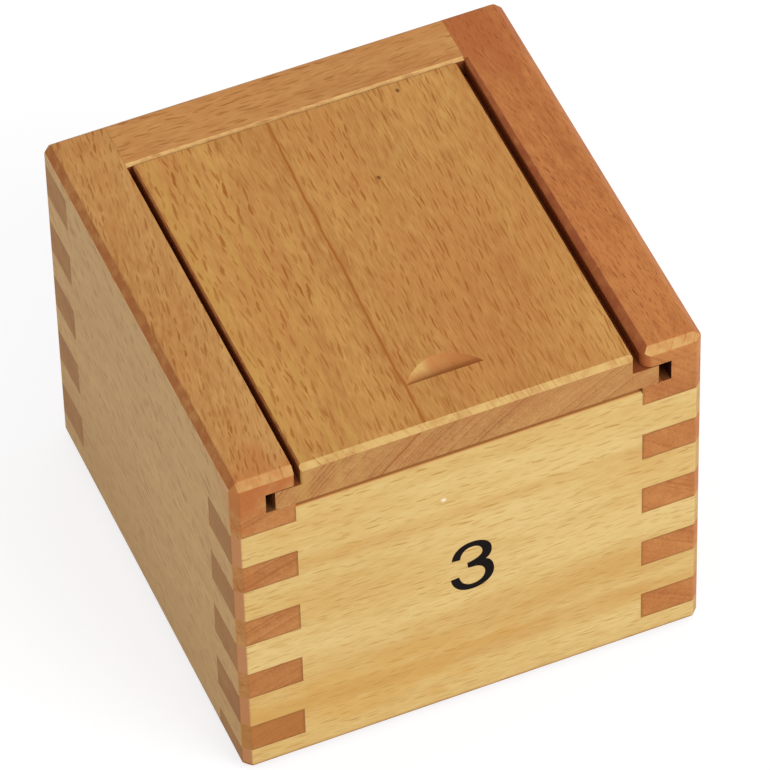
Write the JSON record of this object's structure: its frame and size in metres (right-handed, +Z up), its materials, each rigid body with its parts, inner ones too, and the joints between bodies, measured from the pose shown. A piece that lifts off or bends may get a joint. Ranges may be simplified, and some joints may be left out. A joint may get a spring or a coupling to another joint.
{
  "type": "puzzle box",
  "caption": "Small finger-jointed wooden box with a sliding lid and a thumb notch, packed with a set of plain cube puzzle blocks.",
  "frame": {"origin": "centre of the base, on the surface that the box stands on", "axes": "+Z up, -Y towards the front wall that carries the numeral and over which the lid slides out, +X to the right seen from the front"},
  "size_m": [0.072, 0.0728, 0.0625],
  "materials": {
    "side_wall_beech": "sanded and clear oiled, satin, grain along Y",
    "end_wall_beech": "sanded and clear oiled, satin, grain along X",
    "lid_beech": "sanded and clear oiled, satin, grain along Y",
    "floor_plywood": "sanded thin plywood, matt",
    "numeral_ink": "flat black printed ink",
    "block_beech": "fine sanded and waxed, satin"
  },
  "bodies": {
    "box": {"left_wall": "side_wall_beech", "right_wall": "side_wall_beech", "front_wall": "end_wall_beech", "back_wall": "end_wall_beech", "floor_panel": "floor_plywood", "block_1": "block_beech", "block_2": "block_beech", "block_3": "block_beech", "block_4": "block_beech", "block_5": "block_beech", "block_6": "block_beech", "block_7": "block_beech", "block_8": "block_beech"},
    "lid": {"lid": "lid_beech"}
  },
  "joints": [
    {"name": "lid_slide", "type": "slide", "parent": "box", "child": "lid", "axis": [0, -1, 0], "range_m": [0, 0.066]}
  ]
}
